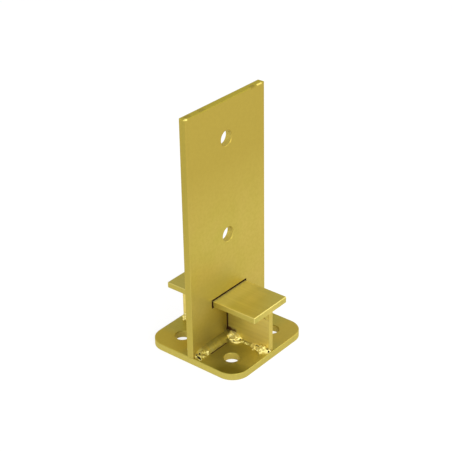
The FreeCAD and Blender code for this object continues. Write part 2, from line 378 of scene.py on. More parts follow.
@dataclass(frozen=True)
class WeldFinish(ZincFinish):
    """The same plating on weld metal: shinier, brighter in part as a painted highlight, and dark in
    its pits.
    """

    # A bright colour that partly paints highlights on the heaps of weld metal; the runs get the
    # duller RUN.
    body: Colour = to_linear(247, 233, 150)
    lean: Colour = to_linear(241, 229, 140)
    warm: Colour = to_linear(249, 233, 152)
    # Dark colour of the pits, partly burn and partly painted shade, and of the painted shade in the
    # dimples and creases.
    burn_and_shade: Colour = to_linear(38, 24, 8)
    burn_and_shade_from: float = 0.1
    burn_and_shade_full: float = 0.36
    burn_and_shade_roughness: float = 0.8
    roughness: float = 0.3
    metallic: float = 0.55
    rolling: Rolling = Rolling.ALONG_X
    streak: float = 0.35
    grain_depth: float = 0.1
    patches: tuple[Patch, ...] = (
        coat((2.5, 0.0, 0.0), (47.0, 5.9, 20.0), RUN, soft=0.7, roughness=0.42, strength=0.95),
        coat((8.4, 0.0, 0.0), (47.0, 9.6, 20.0), RUN, soft=0.7, roughness=0.42, strength=0.95),
        # Painted shade: the runs darker towards the corner.
        coat((1.0, 0.0, 0.0), (9.0, 5.9, 20.0), RUN_PAINTED_SHADE, soft=0.7, strength=0.6),
        coat((8.4, 0.0, 0.0), (16.0, 9.6, 20.0), RUN_PAINTED_SHADE, soft=0.7, strength=0.5),
        coat((16.0, 0.0, 0.0), (24.0, 9.6, 20.0), RUN_PAINTED_SHADE, soft=0.9, strength=0.25),
        # Painted light: lighter stretches near the ends of the runs and brighter end heaps.
        coat((31.0, 0.0, 0.0), (39.0, 9.6, 20.0), to_linear(192, 176, 88), soft=2.0, roughness=0.4,
             strength=0.8),
        coat((0.0, 18.4, 0.0), (8.0, 27.0, 20.0), RUN, soft=1.2, roughness=0.42, strength=0.8),
        coat((39.0, 0.0, 0.0), (47.0, 10.0, 20.0), to_linear(212, 198, 112), soft=1.5, metallic=0.7,
             roughness=0.36, strength=0.8),
        coat((0.0, 30.0, 0.0), (8.0, 42.0, 20.0), to_linear(230, 214, 126), soft=2.0, metallic=0.6,
             roughness=0.32, strength=0.7),
        # A painted glint of about 1 mm on the heap at the end of the run along the blade, in all
        # four foot welds.
        coat((33.2, 7.8, 0.0), (34.2, 8.8, 20.0), to_linear(255, 244, 160), soft=0.9, metallic=0.3,
             roughness=0.3, strength=0.9),
        coat((0.0, 0.0, 24.0), (20.0, 60.0, 60.0), to_linear(196, 178, 84), soft=1.0,
             roughness=0.42),
    )

    def add_pits(self, sheet: NodeSheet, film: Socket, rough: Socket,
                 metallic: float | Socket) -> tuple[Socket, Socket, float | Socket]:
        """Paint burn and shade into the pits, and shade into the dimples and creases.

        Args:
            sheet: the material's nodes.
            film: the colour so far.
            rough: the roughness so far.
            metallic: the metallic share so far.

        Returns:
            Colour, roughness and metallic share with the pits and the painted shade in them.
        """
        pit = sheet.add("ShaderNodeAttribute", attribute_name="pit").outputs["Fac"]
        pit = sheet.remap(pit, self.burn_and_shade_from, self.burn_and_shade_full)
        film = sheet.blend(pit, film, self.burn_and_shade)
        return film, sheet.mix(pit, rough, self.burn_and_shade_roughness), sheet.mix(pit, metallic, 0.0)


@dataclass
class PhotoView:
    """Camera at the photograph's viewing angle, solved from the object's edges."""

    azimuth: float = -50.27
    elevation: float = 28.66
    roll: float = -1.06
    distance: float = 953.4 * MM
    aim: Vector = field(default_factory=lambda: Vector((-1.44, -2.1, 103.43)) * MM)
    focal_pixels: float = 1261.9
    sensor: float = 36.0

    def build(self) -> None:
        """Make the camera and use it."""
        turn, rise, lean = (math.radians(a) for a in (self.azimuth, self.elevation, self.roll))
        level = Vector((math.sin(turn), -math.cos(turn), 0.0))
        back = level * math.cos(rise) + Vector((0.0, 0.0, math.sin(rise)))
        right = Vector((math.cos(turn), math.sin(turn), 0.0))
        up = back.cross(right)
        axes = Matrix((right, up, back)).transposed() @ Matrix.Rotation(lean, 3, "Z")
        data = bpy.data.cameras.new("photo_view")
        data.sensor_width = self.sensor
        data.lens = self.sensor * self.focal_pixels / IMAGE_PIXELS
        data.clip_start = 0.01
        camera = bpy.data.objects.new("photo_view", data)
        camera.matrix_world = Matrix.Translation(self.aim + back * self.distance) @ axes.to_4x4()
        bpy.context.scene.collection.objects.link(camera)
        bpy.context.scene.camera = camera


@dataclass(frozen=True)
class Softbox:
    """A square soft lamp, with its place and side in metres and its power in watts."""

    name: str
    place: Spot
    side: float
    watts: float

    def build(self, aim: Spot) -> None:
        """Hang the lamp.

        Args:
            aim: the place that it looks at, in metres.
        """
        data = bpy.data.lights.new(self.name, "AREA")
        data.shape = "SQUARE"
        data.size = self.side
        data.energy = self.watts
        lamp = bpy.data.objects.new(self.name, data)
        toward = (Vector(aim) - Vector(self.place)).to_track_quat("-Z", "Y")
        lamp.matrix_world = Matrix.Translation(self.place) @ toward.to_matrix().to_4x4()
        bpy.context.scene.collection.objects.link(lamp)


@dataclass
class Studio:
    """Plain pale floor, white surround and soft lamps."""

    floor_side: float = 6.0
    floor_level: float = -0.1 * MM
    floor_grey: float = 0.82
    glow: float = 1.12
    glow_share: float = 0.75
    surround: float = 1.0
    overhead: float = 0.62
    overhead_from: float = 0.9
    dim_side: Spot = (0.684, 0.557, 0.471)
    dim_from: float = 0.3
    dim_full: float = 0.95
    dim_share: float = 0.88
    aim: Spot = (0.0, 0.0, 0.1)
    lamps: tuple[Softbox, ...] = (
        Softbox("key_softbox", (-0.5, -1.15, 0.85), 0.7, 8.0),
        Softbox("side_softbox", (-1.3, 0.1, 0.45), 0.9, 5.0),
        Softbox("fill_softbox", (0.9, -0.6, 0.9), 0.9, 4.0),
    )

    def build(self) -> None:
        """Make the floor, the surround and the lamps."""
        self.build_world()
        self.build_floor()
        for lamp in self.lamps:
            lamp.build(self.aim)

    def build_world(self) -> None:
        """Light the object from all round with a white sky, less from above and behind."""
        world = bpy.data.worlds.new("surround")
        bpy.context.scene.world = world
        world.use_nodes = True
        sheet = NodeSheet(world.node_tree)
        way = sheet.add("ShaderNodeTexCoord").outputs["Generated"]
        height = sheet.add("ShaderNodeSeparateXYZ", {"Vector": way}).outputs["Z"]
        level = sheet.remap(height, 0.0, self.overhead_from, self.surround, self.overhead)
        aside = sheet.add("ShaderNodeVectorMath", {0: way, 1: self.dim_side},
                          operation="DOT_PRODUCT").outputs["Value"]
        dim = sheet.remap(aside, self.dim_from, self.dim_full, 1.0, self.dim_share)
        level = sheet.math("MULTIPLY", level, dim)
        sky = sheet.add("ShaderNodeBackground", {"Color": (1.0, 1.0, 1.0, 1.0), "Strength": level})
        sheet.add("ShaderNodeOutputWorld", {"Surface": sky.outputs[0]})

    def build_floor(self) -> None:
        """Lay a pale floor that looks white, in reflections too, and keeps a faint shadow."""
        half, low = self.floor_side / 2, self.floor_level
        mesh = bpy.data.meshes.new("floor")
        corners = [(-half, -half, low), (half, -half, low), (half, half, low), (-half, half, low)]
        mesh.from_pydata(corners, [], [(0, 1, 2, 3)])
        floor = bpy.data.objects.new("floor", mesh)
        bpy.context.scene.collection.objects.link(floor)
        material = bpy.data.materials.new("pale_floor")
        material.use_nodes = True
        sheet = NodeSheet(material.node_tree)
        grey = (self.floor_grey,) * 3 + (1.0,)
        matt = sheet.add("ShaderNodeBsdfDiffuse", {"Color": grey})
        white = sheet.add("ShaderNodeEmission", {
            "Color": (1.0, 1.0, 1.0, 1.0),
            "Strength": self.glow,
        })
        path = sheet.add("ShaderNodeLightPath").outputs
        looks = path["Is Camera Ray"]
        for name in ("Is Glossy Ray", "Is Transmission Ray"):
            looks = sheet.math("MAXIMUM", looks, path[name])
        share = sheet.remap(looks, 0.0, 1.0, 0.0, self.glow_share)
        mix = sheet.add("ShaderNodeMixShader", {0: share, 1: matt.outputs[0], 2: white.outputs[0]})
        sheet.add("ShaderNodeOutputMaterial", {"Surface": mix.outputs[0]})
        mesh.materials.append(material)


@dataclass
class SteelPieces:
    """The three steel pieces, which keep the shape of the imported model."""

    finishes: dict[str, ZincFinish] = field(default_factory=lambda: {
        "base_plate": ZincFinish(
            "zinc_on_base_plate", body=to_linear(187, 173, 80), lean=to_linear(180, 170, 73),
            warm=to_linear(191, 173, 84), patches=(
                coat((0.0, 0.0, -1.0), (46.0, 46.0, 5.4), to_linear(195, 179, 90), strength=0.8,
                     fade_up=0.1),
                # Painted shade: darker zones on the plate's front left, by its corner and beside
                # the foot weld, on one side only.
                coat((-44.0, -44.0, 5.9), (-36.0, -28.0, 7.0), to_linear(138, 124, 42), soft=11.0,
                     roughness=0.5, mirrored=False, fade_up=0.1),
                coat((-32.0, -26.0, 5.9), (-10.0, -8.0, 7.0), to_linear(170, 157, 74), soft=9.0,
                     roughness=0.5, mirrored=False, fade_up=0.1),
                # Painted light: lighter, warmer zones at the plate's rear left and front right, on
                # one side only.
                coat((-46.0, 14.0, 5.9), (-30.0, 46.0, 7.0), to_linear(198, 174, 68), soft=8.0,
                     mirrored=False, fade_up=0.1),
                coat((18.0, -46.0, 5.9), (46.0, -30.0, 7.0), to_linear(197, 174, 76), soft=9.0,
                     mirrored=False, fade_up=0.1),
                # Painted shadow: a dark line on the plate under the toe of each run along the
                # blade.
                Patch((12.0, 8.4, 5.0), (31.0, 9.7, 7.0), PAINTED_SHADE, soft=0.4, strength=0.95,
                      ragged=0.2),
                coat((18.9, 18.9, 0.5), (31.1, 31.1, 5.4), BORE, soft=0.05, metallic=0.4,
                     roughness=0.5),
            )),
        "blade": ZincFinish("zinc_on_blade", patches=(
            # Painted shade: the blade darker towards its top.
            coat((0.0, 0.0, 160.0), (46.0, 4.0, 210.0), to_linear(182, 160, 70), soft=60.0),
            # Painted shade on the front of the blade just above the seat, on one side only.
            coat((-34.0, -3.1, 46.0), (-6.0, -2.0, 60.0), to_linear(184, 170, 89), soft=16.0,
                 roughness=0.48, strength=0.7, mirrored=False),
            # Painted shade: the blade darker towards its foot, and darker still beside the web.
            coat((0.0, 0.0, 0.0), (26.0, 3.1, 24.0), to_linear(174, 160, 80), soft=16.0,
                 roughness=0.48),
            coat((0.0, 0.0, 14.0), (4.0, 3.1, 36.0), to_linear(152, 134, 58), soft=9.0,
                 roughness=0.5, strength=0.75),
            # Painted shade in the slots for the seat and the web; at the foot of the web's slot it
            # is partly soot.
            Patch((0.0, 0.0, 39.75), (21.25, 3.1, 47.25), PAINTED_SHADE, soft=0.1),
            Patch((0.0, 0.0, 6.0), (3.75, 3.1, 40.0), PAINTED_SHADE, soft=0.1),
            Patch((0.0, 0.0, 10.5), (4.2, 3.1, 13.6), PAINTED_SHADE, soft=0.9),
            coat((44.9, 0.0, 0.0), (46.0, 4.0, 210.0), CUT_END, soft=0.05, roughness=0.5),
            coat((44.9, 0.0, 0.0), (46.0, 4.0, 20.0), to_linear(186, 169, 78), soft=0.05,
                 roughness=0.5, fade_up=130.0),
            coat((0.0, 0.0, 205.3), (46.0, 4.0, 207.0), CUT_TOP, soft=0.15, metallic=0.9,
                 roughness=0.5),
            coat((0.0, 2.4, 205.3), (46.0, 3.1, 207.0), to_linear(178, 161, 62), soft=0.1,
                 roughness=0.6),
            Patch((-41.5, -0.8, 205.6), (-37.0, 1.2, 207.0), CUT_NICK, soft=1.2, strength=0.7,
                  ragged=0.5, mirrored=False),
            Patch((-27.0, -1.5, 205.6), (-22.0, 1.0, 207.0), CUT_NICK, soft=1.2, strength=0.55,
                  ragged=0.5, mirrored=False),
            Patch((30.0, -2.6, 205.6), (34.0, -0.6, 207.0), CUT_NICK, soft=1.2, strength=0.7,
                  ragged=0.5, mirrored=False),
            # Worn bright metal with a painted glint at the front corners of the blade's top.
            coat((-46.0, -3.1, 205.4), (-42.5, -1.6, 207.0), CUT_WEAR_AND_GLINT, soft=0.5, metallic=0.6,
                 roughness=0.35, ragged=0.4, mirrored=False),
            coat((36.5, -3.1, 205.4), (42.0, -2.0, 207.0), CUT_WEAR_AND_GLINT, soft=0.5, metallic=0.6,
                 roughness=0.35, strength=0.7, ragged=0.4, mirrored=False),
            coat((0.0, 0.0, 169.4), (6.6, 2.6, 182.6), BORE, soft=0.05, metallic=0.2,
                 roughness=0.5),
            coat((0.0, 0.0, 89.4), (6.6, 2.6, 102.6), BORE, soft=0.05, metallic=0.2, roughness=0.5),
        )),
        "seat_tee": ZincFinish(
            "zinc_on_seat_tee", body=to_linear(202, 190, 102), lean=to_linear(196, 187, 94),
            warm=to_linear(206, 190, 106), rolling=Rolling.ALONG_Y, streak=0.16, patches=(
                # Painted light: the web's sides lighter than the flange, and lighter still towards
                # the web's end.
                coat((0.0, 0.0, 6.0), (3.0, 44.0, 40.8), to_linear(210, 194, 104)),
                coat((0.0, 30.0, 6.0), (3.0, 43.2, 40.0), to_linear(230, 210, 118), soft=14.0),
                # Painted shade: the flange's top darker towards its ends.
                coat((0.0, 30.0, 45.9), (21.0, 43.6, 47.0), to_linear(198, 184, 92), soft=8.0,
                     fade_up=0.1),
                coat((0.0, 43.3, 6.0), (3.0, 44.0, 40.8), to_linear(203, 183, 92), soft=0.05),
                coat((19.9, 0.0, 41.2), (20.2, 43.4, 45.4), to_linear(192, 176, 84), soft=0.05),
                coat((0.0, 43.2, 41.0), (20.2, 44.0, 45.2), to_linear(186, 170, 78), soft=0.1,
                     strength=0.4),
                # Painted light: the flange's top lighter beside the blade.
                coat((0.0, 3.0, 45.9), (21.0, 12.0, 47.0), to_linear(214, 204, 122), soft=8.0,
                     fade_up=0.1),
                # Painted shade in the slot seam; above the corner welds it is partly soot and
                # partly painted shade.
                Patch((0.0, 0.0, 0.0), (21.5, 3.3, 47.5), PAINTED_SHADE, soft=0.15),
                Patch((0.0, 3.0, 11.0), (3.0, 10.5, 13.6), PAINTED_SHADE, soft=2.2, strength=0.9,
                      ragged=0.3),
                Patch((0.0, 0.0, 10.5), (3.0, 6.2, 14.0), PAINTED_SHADE, soft=0.9, ragged=0.2),
                # Worn edges with a painted highlight along the flange's top edges.
                coat((19.55, 0.0, 45.5), (20.5, 43.6, 46.5), WEAR_AND_EDGE_HIGHLIGHT, soft=0.05, roughness=0.4),
                coat((0.0, 43.05, 45.5), (20.5, 44.0, 46.5), WEAR_AND_EDGE_HIGHLIGHT, soft=0.05, roughness=0.4),
                coat((19.6, 43.1, 40.5), (20.5, 44.0, 46.5), WEAR_AND_EDGE_HIGHLIGHT, soft=0.25, roughness=0.4),
            )),
    })

    def build(self) -> None:
        """Give each piece its finish."""
        for name, finish in self.finishes.items():
            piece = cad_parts[name]
            piece.data.materials.clear()
            piece.data.materials.append(finish.build())
            LOG.info("%s: finished with %s", name, finish.name)


class Kind(Enum):
    """What a point of a weld stands for."""

    METAL = 0
    PIT = 1
    DIMPLE = 2
    CREASE = 3


class Nook(Enum):
    """An inner corner that a weld fills: signs along X and Y, start height and sign along Z."""

    FRONT_LEFT = (-1, -1, 6.0, 1)
    FRONT_RIGHT = (1, -1, 6.0, 1)
    REAR_LEFT = (-1, 1, 6.0, 1)
    REAR_RIGHT = (1, 1, 6.0, 1)
    SEAT_FRONT = (-1, -1, 41.0, -1)
    SEAT_REAR = (-1, 1, 41.0, -1)


@dataclass(frozen=True)
class SteelFaces:
    """Where the faces lie that the welds join, in millimetres from the object's middle."""

    web: float = 2.5
    blade: float = 3.0
    tee_end: float = 43.5
    sink: float = 0.3
    reach: float = 60.0
    depth: float = 2.5


@dataclass(frozen=True)
class Puddle:
    """A ball of weld metal, or a mark on it, placed from the faces of its nook in millimetres."""

    from_web: float
    from_blade: float
    from_floor: float
    radius: float
    kind: Kind = Kind.METAL


class BeadTree:
    """Geometry nodes that run the puddles of a weld together and cut them off at the steel."""

    NAME = "weld_bead"
    SKIN_LEVEL = 0.5
    # Painted shade: dimples and creases darken the weld's colour by these shares, along with the
    # pits.
    DIMPLE_SHADE = 0.22
    CREASE_SHADE = 0.5
    SHARP_EDGE = math.radians(50.0)

    def build(self) -> bpy.types.NodeTree:
        """Make the node tree.

        Returns:
            The tree, for use in a modifier.
        """
        tree = bpy.data.node_groups.new(self.NAME, "GeometryNodeTree")
        sheet = NodeSheet(tree)
        self.declare(tree)
        given = sheet.add("NodeGroupInput").outputs

        kind = sheet.add("GeometryNodeInputNamedAttribute", {"Name": "kind"}).outputs[0]
        radius = sheet.add("GeometryNodeInputNamedAttribute", {"Name": "radius"}).outputs[0]
        metal = self.pick(sheet, given["Puddles"], kind, Kind.METAL)
        pits = self.pick(sheet, given["Puddles"], kind, Kind.PIT)
        dimples = self.pick(sheet, given["Puddles"], kind, Kind.DIMPLE)
        creases = self.pick(sheet, given["Puddles"], kind, Kind.CREASE)

        balls = sheet.add("GeometryNodeMeshToPoints", {"Mesh": metal, "Radius": radius})
        mist = sheet.add("GeometryNodePointsToVolume", {
            "Points": balls.outputs[0],
            "Voxel Size": given["Grain"],
            "Radius": radius,
        }, resolution_mode="VOXEL_SIZE")
        skin = sheet.add("GeometryNodeVolumeToMesh", {
            "Volume": mist.outputs[0],
            "Threshold": self.SKIN_LEVEL,
        })
        skin = self.fuse(sheet, skin.outputs[0], given["Fusing"])
        room = sheet.add("GeometryNodeObjectInfo", {"Object": given["Room"]})
        cut = sheet.add("GeometryNodeMeshBoolean", {"Mesh 2": skin}, operation="INTERSECT",
                        solver="EXACT")
        tree.links.new(room.outputs["Geometry"], cut.inputs["Mesh 2"])

        skin = self.push(sheet, cut.outputs[0], self.ripple(sheet, given))
        pits, dimples, creases = (self.settle(sheet, m, skin) for m in (pits, dimples, creases))
        shade = self.nearness(sheet, pits, given["Pit Reach"])
        for marks, reach, dark in ((dimples, "Dimple Reach", self.DIMPLE_SHADE),
                                   (creases, "Crease Reach", self.CREASE_SHADE)):
            near = self.nearness(sheet, marks, given[reach])
            shade = sheet.math("MAXIMUM", shade, sheet.math("MULTIPLY", near, dark))
        # Stored darkness: the pits, and painted shade at the dimples and creases.
        marked = sheet.add("GeometryNodeStoreNamedAttribute", {
            "Geometry": skin,
            "Name": "pit",
            "Value": shade,
        }, data_type="FLOAT", domain="POINT")
        skin = marked.outputs[0]
        for name, marks in (("Dimple", dimples), ("Crease", creases), ("Pit", pits)):
            amount = self.hollow(sheet, marks, given[name + " Reach"], given[name + " Depth"])
            skin = self.push(sheet, skin, amount)
        smooth = sheet.add("GeometryNodeSetShadeSmooth", {"Geometry": skin})
        angle = sheet.add("GeometryNodeInputMeshEdgeAngle").outputs["Unsigned Angle"]
        sharp = sheet.add("FunctionNodeCompare", {"A": angle, "B": self.SHARP_EDGE},
                          data_type="FLOAT", operation="GREATER_THAN")
        edged = sheet.add("GeometryNodeSetShadeSmooth", {
            "Geometry": smooth.outputs[0],
            "Selection": sharp.outputs[0],
            "Shade Smooth": False,
        }, domain="EDGE")
        real = sheet.add("GeometryNodeRealizeInstances", {"Geometry": edged.outputs[0]})
        dressed = sheet.add("GeometryNodeSetMaterial", {
            "Geometry": real.outputs[0],
            "Material": given["Finish"],
        })
        sheet.add("NodeGroupOutput", {"Weld": dressed.outputs[0]})
        return tree

    def declare(self, tree: bpy.types.NodeTree) -> None:
        """Name the tree's inputs and its output.

        Args:
            tree: the tree.
        """
        face = tree.interface
        face.new_socket("Puddles", in_out="INPUT", socket_type="NodeSocketGeometry")
        face.new_socket("Room", in_out="INPUT", socket_type="NodeSocketObject")
        face.new_socket("Finish", in_out="INPUT", socket_type="NodeSocketMaterial")
        face.new_socket("Fusing", in_out="INPUT", socket_type="NodeSocketInt")
        for name in ("Grain", "Ripple Depth", "Ripple Scale", "Seed", "Pit Reach", "Pit Depth",
                     "Dimple Reach", "Dimple Depth", "Crease Reach", "Crease Depth"):
            face.new_socket(name, in_out="INPUT", socket_type="NodeSocketFloat")
        face.new_socket("Weld", in_out="OUTPUT", socket_type="NodeSocketGeometry")

    def pick(self, sheet: NodeSheet, points: Socket, kind: Socket, wanted: Kind) -> Socket:
        """Pick the points of one kind.

        Args:
            sheet: the tree's nodes.
            points: all the points.
            kind: their kinds.
            wanted: the kind to keep.

        Returns:
            The picked points.
        """
        same = sheet.add("FunctionNodeCompare", {
            "A": kind,
            "B": float(wanted.value),
            "Epsilon": 0.1,
        }, data_type="FLOAT", operation="EQUAL")
        return sheet.add("GeometryNodeSeparateGeometry", {
            "Geometry": points,
            "Selection": same.outputs[0],
        }).outputs["Selection"]

    def fuse(self, sheet: NodeSheet, skin: Socket, rounds: Socket) -> Socket:
        """Soften the creases between puddles, as molten metal does.

        Args:
            sheet: the tree's nodes.
            skin: the mesh.
            rounds: how many times its points move towards their neighbours.

        Returns:
            The softened mesh.
        """
        place = sheet.add("GeometryNodeInputPosition").outputs[0]
        soft = sheet.add("GeometryNodeBlurAttribute", data_type="FLOAT_VECTOR")
        value = next(s for s in soft.inputs if s.name == "Value" and s.type == "VECTOR")
        sheet.tree.links.new(place, value)
        sheet.tree.links.new(rounds, soft.inputs["Iterations"])
        soft_place = next(s for s in soft.outputs if s.type == "VECTOR")
        inputs = {"Geometry": skin, "Position": soft_place}
        return sheet.add("GeometryNodeSetPosition", inputs).outputs[0]

    def push(self, sheet: NodeSheet, skin: Socket, amount: Socket) -> Socket:
        """Move the skin in or out along its normals.

        Args:
            sheet: the tree's nodes.
            skin: the mesh.
            amount: how far out, in metres.

        Returns:
            The moved mesh.
        """
        normal = sheet.add("GeometryNodeInputNormal").outputs[0]
        offset = sheet.add("ShaderNodeVectorMath", {0: normal, "Scale": amount}, operation="SCALE")
        inputs = {"Geometry": skin, "Offset": offset.outputs[0]}
        return sheet.add("GeometryNodeSetPosition", inputs).outputs[0]

    def ripple(self, sheet: NodeSheet, given: bpy.types.bpy_prop_collection) -> Socket:
        """Work out the uneven skin of cooled metal.

        Args:
            sheet: the tree's nodes.
            given: the tree's inputs.

        Returns:
            How far out each point of the skin goes.
        """
        place = sheet.add("GeometryNodeInputPosition").outputs[0]
        pattern = sheet.add("ShaderNodeTexNoise", {
            "Vector": place,
            "W": given["Seed"],
            "Scale": given["Ripple Scale"],
            "Detail": 1.0,
        }, noise_dimensions="4D").outputs[0]
        return sheet.math("MULTIPLY", sheet.math("SUBTRACT", pattern, 0.5), given["Ripple Depth"])

    def settle(self, sheet: NodeSheet, marks: Socket, skin: Socket) -> Socket:
        """Move marks to the nearest places on the skin.

        Args:
            sheet: the tree's nodes.
            marks: the points to move.
            skin: the mesh that they settle on.

        Returns:
            The moved points.
        """
        near = sheet.add("GeometryNodeProximity", {"Geometry": skin}, target_element="FACES")
        inputs = {"Geometry": marks, "Position": near.outputs["Position"]}
        return sheet.add("GeometryNodeSetPosition", inputs).outputs[0]

    def nearness(self, sheet: NodeSheet, points: Socket, reach: Socket) -> Socket:
        """Say how near each point of the skin is to the marks.

        Args:
            sheet: the tree's nodes.
            points: the marks.
            reach: how far a mark reaches.

        Returns:
            1 at a mark, falling to 0 at its reach.
        """
        near = sheet.add("GeometryNodeProximity", {"Geometry": points}, target_element="POINTS")
        share = sheet.remap(near.outputs["Distance"], 0.0, reach, 1.0, 0.0)
        return sheet.math("MULTIPLY", share, near.outputs["Is Valid"])

    def hollow(self, sheet: NodeSheet, points: Socket, reach: Socket, depth: Socket) -> Socket:
        """Work out how far the skin is pushed in around the marks.

        Args:
            sheet: the tree's nodes.
            points: the marks.
            reach: how far a mark reaches.
            depth: how deep it is.

        Returns:
            How far out each point goes, below zero.
        """
        sunk = sheet.math("MULTIPLY", self.nearness(sheet, points, reach), depth)
        return sheet.math("MULTIPLY", sunk, -1.0)


@dataclass
class Weld:
    """One weld in its nook, laid down puddle by puddle, with its sizes in millimetres."""

    node: str
    nook: Nook
    seed: int
    faces: SteelFaces = SteelFaces()
    leg_shake: float = 0.12
    rim_bow: float = 1.2
    rim_wire: float = 0.8
    rim_steps: int = 12
    grain: float = 0.25
    fusing: int = 6
    ripple_depth: float = 0.45
    ripple_waves: float = 300.0
    pit_reach: float = 1.1
    pit_depth: float = 1.2
    dimple_reach: float = 2.4
    dimple_depth: float = 1.2
    crease_reach: float = 0.6
    crease_depth: float = 0.9

    def __post_init__(self) -> None:
        """Seed the weld's own dice and start with no metal."""
        self.dice = random.Random(self.seed)
        self.puddles: list[Puddle] = []

    def lay(self) -> None:
        """Lay the weld's puddles."""
        raise NotImplementedError

    def run(self, along: str, start: float, end: float, leg: float, sink: float, step: float = 0.8,
            end_leg: float | None = None) -> None:
        """Lay a smooth run along the blade or the web.

        Args:
            along: "blade" or "web".
            start: where it starts, from the other face.
            end: where it ends, from the other face.
            leg: how far its toe lies from each face.
            sink: how deep its axis lies behind both faces.
            step: distance between puddles.
            end_leg: the leg at its end, if it changes.
        """
        count = max(1, round((end - start) / step))
        for index in range(count + 1):
            share = index / count
            here = leg + ((end_leg or leg) - leg) * share
            here += self.dice.uniform(-self.leg_shake, self.leg_shake)
            self.drop(along, start + (end - start) * share, here, sink)

    def drop(self, along: str, place: float, leg: float, sink: float) -> None:
        """Drop one puddle in the corner of two faces.

        Args:
            along: "blade" or "web", the wall it lies against.
            place: how far along that wall it lies.
            leg: how far its toe lies from each face.
            sink: how deep its centre lies behind both faces.
        """
        radius = math.hypot(leg + sink, sink)
        spot = (place, -sink) if along == "blade" else (-sink, place)
        self.puddles.append(Puddle(*spot, -sink, radius))

    def crescent(self, along: str, place: float, leg: float, sink: float, proud: float) -> None:
        """Lay the raised rim of one puddle across a run.

        Args:
            along: "blade" or "web".
            place: where along the wall.
            leg: how far the run's toe lies from each face.
            sink: how deep the run's axis lies.
            proud: how far the rim stands out of the run.
        """
        reach = math.hypot(leg + sink, sink) - self.rim_wire + proud
        low = math.asin(min(0.99, sink / reach))
        for index in range(self.rim_steps + 1):
            share = index / self.rim_steps
            angle = low + (math.pi / 2 - 2 * low) * share
            lead = self.rim_bow * (1 - (2 * share - 1) ** 2)
            out, up = reach * math.cos(angle) - sink, reach * math.sin(angle) - sink
            spot = (place + lead, out) if along == "blade" else (out, place + lead)
            self.puddles.append(Puddle(*spot, up, self.rim_wire))

    def mark(self, kind: Kind, *spots: Spot) -> None:
        """Mark spots of the metal.

        Args:
            kind: Kind.PIT, Kind.DIMPLE or Kind.CREASE.
            spots: places from the three faces.
        """
        for spot in spots:
            self.puddles.append(Puddle(*spot, 0.0, kind))

    def place(self, from_web: float, from_blade: float, from_floor: float) -> Vector:
        """Turn distances from the nook's faces into a place in the frame.

        Args:
            from_web: distance from the web's face in millimetres.
            from_blade: distance from the blade's face in millimetres.
            from_floor: distance from the plate or the flange in millimetres.

        Returns:
            The place in metres.
        """
        sign_x, sign_y, start, sign_z = self.nook.value
        x = sign_x * (self.faces.web + from_web)
        y = sign_y * (self.faces.blade + from_blade)
        return Vector((x, y, start + sign_z * from_floor)) * MM

    def make_points(self) -> bpy.types.Object:
        """Put the puddles in an object of loose points.

        Returns:
            The object, with the radius and the kind of each point.
        """
        mesh = bpy.data.meshes.new(self.node + "_puddles")
        spots = [self.place(p.from_web, p.from_blade, p.from_floor) for p in self.puddles]
        mesh.from_pydata(spots, [], [])
        radius = mesh.attributes.new("radius", "FLOAT", "POINT")
        radius.data.foreach_set("value", [p.radius * MM for p in self.puddles])
        kind = mesh.attributes.new("kind", "FLOAT", "POINT")
        kind.data.foreach_set("value", [float(p.kind.value) for p in self.puddles])
        points = bpy.data.objects.new(self.node + "_points", mesh)
        bpy.context.scene.collection.objects.link(points)
        return points

    def room_outline(self) -> list[tuple[float, float]]:
        """Outline the open room as seen from above, around the web's end.

        Returns:
            Its corners, as distances from the web and from the blade.
        """
        faces = self.faces
        turn = faces.tee_end - faces.blade - faces.sink
        return [(-faces.sink, -faces.sink), (faces.reach, -faces.sink), (faces.reach, faces.reach),
                (-faces.depth, faces.reach), (-faces.depth, turn), (-faces.sink, turn)]

    def make_room(self) -> bpy.types.Object:
        """Make the open room in the nook and around the web's end, a little into the steel.

        Returns:
            The object that the weld is kept inside.
        """
        outline = self.room_outline()
        count = len(outline)
        heights = (-self.faces.sink, self.faces.reach)
        corners = [self.place(x, y, z) for z in heights for x, y in outline]
        sides = [tuple(reversed(range(count))), tuple(range(count, 2 * count))]
        for index in range(count):
            after = (index + 1) % count
            sides.append((index, after, count + after, count + index))
        if math.prod(self.nook.value[index] for index in (0, 1, 3)) < 0:
            sides = [side[::-1] for side in sides]
        mesh = bpy.data.meshes.new(self.node + "_room")
        mesh.from_pydata(corners, [], sides)
        room = bpy.data.objects.new(self.node + "_room", mesh)
        bpy.context.scene.collection.objects.link(room)
        return room

    def build(self, tree: bpy.types.NodeTree, finish: bpy.types.Material) -> None:
        """Grow the weld and let it stand for its plain run.

        Args:
            tree: the geometry nodes that grow it.
            finish: its material.
        """
        self.lay()
        points, room = self.make_points(), self.make_room()
        modifier = points.modifiers.new("bead", "NODES")
        modifier.node_group = tree
        values = {
            "Room": room,
            "Finish": finish,
            "Fusing": self.fusing,
            "Grain": self.grain * MM,
            "Ripple Depth": self.ripple_depth * MM,
            "Ripple Scale": self.ripple_waves,
            "Seed": float(self.seed),
        }
        for kind in ("Pit", "Dimple", "Crease"):
            for size in ("Reach", "Depth"):
                values[f"{kind} {size}"] = getattr(self, f"{kind}_{size}".lower()) * MM
        inputs = (item for item in tree.interface.items_tree if item.in_out == "INPUT")
        sockets = {item.name: item.identifier for item in inputs}
        for name, value in values.items():
            modifier[sockets[name]] = value
        bpy.context.view_layer.update()
        evaluated = points.evaluated_get(bpy.context.evaluated_depsgraph_get())
        mesh = bpy.data.meshes.new_from_object(evaluated)
        mesh.name = self.node + "_metal"
        points.modifiers.remove(modifier)
        for scrap in (points, room):
            bpy.data.objects.remove(scrap, do_unlink=True)
        piece = bpy.data.objects.new(self.node + "_metal", mesh)
        bpy.context.scene.collection.objects.link(piece)
        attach(piece, "root")
        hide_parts(self.node)
        LOG.info("%s: %d faces", self.node, len(mesh.polygons))


